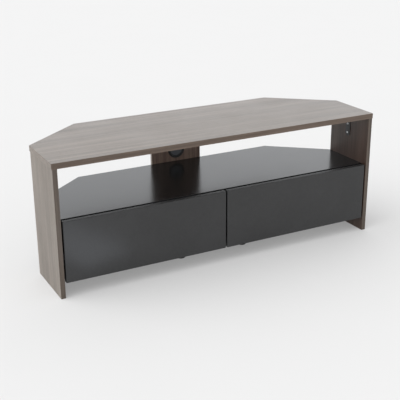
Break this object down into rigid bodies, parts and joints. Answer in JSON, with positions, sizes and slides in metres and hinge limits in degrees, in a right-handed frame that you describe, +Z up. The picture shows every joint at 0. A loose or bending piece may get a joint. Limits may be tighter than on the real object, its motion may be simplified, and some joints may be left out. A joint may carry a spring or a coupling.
{
  "type": "corner media cabinet",
  "caption": "Low corner cabinet for a television: a six-sided top over an open shelf bay, with handle-less drawers below and a cable grommet in the rear spine.",
  "frame": {"origin": "on the floor, under the middle of the cabinet's overall box", "axes": "+X to the right of a person facing the drawers, along the long front; +Y away from that person, towards the wall; +Z up"},
  "size_m": [1.15, 0.378, 0.43],
  "materials": {
    "walnut_board": "dark walnut-effect foil on particleboard, satin, straight grain",
    "black_board": "black satin foil on particleboard",
    "black_front": "black satin lacquer-look foil on fibreboard",
    "drawer_board": "dark grey matt foil on particleboard",
    "hardboard": "black painted hardboard, matt",
    "black_plastic": "moulded, fine satin texture",
    "dark_steel": "dark powder coat",
    "zinc_steel": "bright zinc plate"
  },
  "bodies": {
    "carcass": {"base_panel": "black_board", "cable_spine": "walnut_board", "centre_divider": "black_board", "equipment_shelf": "black_board", "grommet_cap": "black_plastic", "grommet_sleeve": "black_plastic", "left_back_panel": "hardboard", "left_bracket_side_screw_1": "zinc_steel", "left_bracket_side_screw_2": "zinc_steel", "left_bracket_top_screw_1": "zinc_steel", "left_bracket_top_screw_2": "zinc_steel", "left_foot": "black_plastic", "left_inner_cabinet_rail": "zinc_steel", "left_outer_cabinet_rail": "zinc_steel", "left_side_panel": "walnut_board", "left_top_bracket": "dark_steel", "rear_back_panel": "hardboard", "right_back_panel": "hardboard", "right_bracket_side_screw_1": "zinc_steel", "right_bracket_side_screw_2": "zinc_steel", "right_bracket_top_screw_1": "zinc_steel", "right_bracket_top_screw_2": "zinc_steel", "right_foot": "black_plastic", "right_inner_cabinet_rail": "zinc_steel", "right_outer_cabinet_rail": "zinc_steel", "right_side_panel": "walnut_board", "right_top_bracket": "dark_steel", "top_panel": "walnut_board"},
    "left_drawer": {"left_drawer_back": "drawer_board", "left_drawer_bottom": "hardboard", "left_drawer_box_front": "drawer_board", "left_drawer_front": "black_front", "left_drawer_inner_side": "drawer_board", "left_drawer_outer_side": "drawer_board", "left_front_screw_1": "zinc_steel", "left_front_screw_2": "zinc_steel", "left_inner_drawer_rail": "zinc_steel", "left_outer_drawer_rail": "zinc_steel"},
    "right_drawer": {"right_drawer_back": "drawer_board", "right_drawer_bottom": "hardboard", "right_drawer_box_front": "drawer_board", "right_drawer_front": "black_front", "right_drawer_inner_side": "drawer_board", "right_drawer_outer_side": "drawer_board", "right_front_screw_1": "zinc_steel", "right_front_screw_2": "zinc_steel", "right_inner_drawer_rail": "zinc_steel", "right_outer_drawer_rail": "zinc_steel"},
    "left_middle_rails": {"left_inner_middle_rail": "zinc_steel", "left_outer_middle_rail": "zinc_steel"},
    "right_middle_rails": {"right_inner_middle_rail": "zinc_steel", "right_outer_middle_rail": "zinc_steel"},
    "grommet_shutter": {"grommet_shutter": "black_plastic"}
  },
  "joints": [
    {"name": "left_drawer_slide", "type": "slide", "parent": "carcass", "child": "left_drawer", "axis": [0, -1, 0], "range_m": [0, 0.17]},
    {"name": "right_drawer_slide", "type": "slide", "parent": "carcass", "child": "right_drawer", "axis": [0, -1, 0], "range_m": [0, 0.17]},
    {"name": "left_middle_rails_slide", "type": "slide", "parent": "carcass", "child": "left_middle_rails", "axis": [0, -1, 0], "range_m": [0, 0.085]},
    {"name": "right_middle_rails_slide", "type": "slide", "parent": "carcass", "child": "right_middle_rails", "axis": [0, -1, 0], "range_m": [0, 0.085]},
    {"name": "grommet_shutter_turn", "type": "hinge", "parent": "carcass", "child": "grommet_shutter", "pos_m": [0, 0.18, 0.29], "axis": [0, 1, 0], "range_deg": [0, 180]}
  ],
  "couplings": [
    {"joint": "left_middle_rails_slide", "follows": "left_drawer_slide", "ratio": 0.5},
    {"joint": "right_middle_rails_slide", "follows": "right_drawer_slide", "ratio": 0.5}
  ]
}
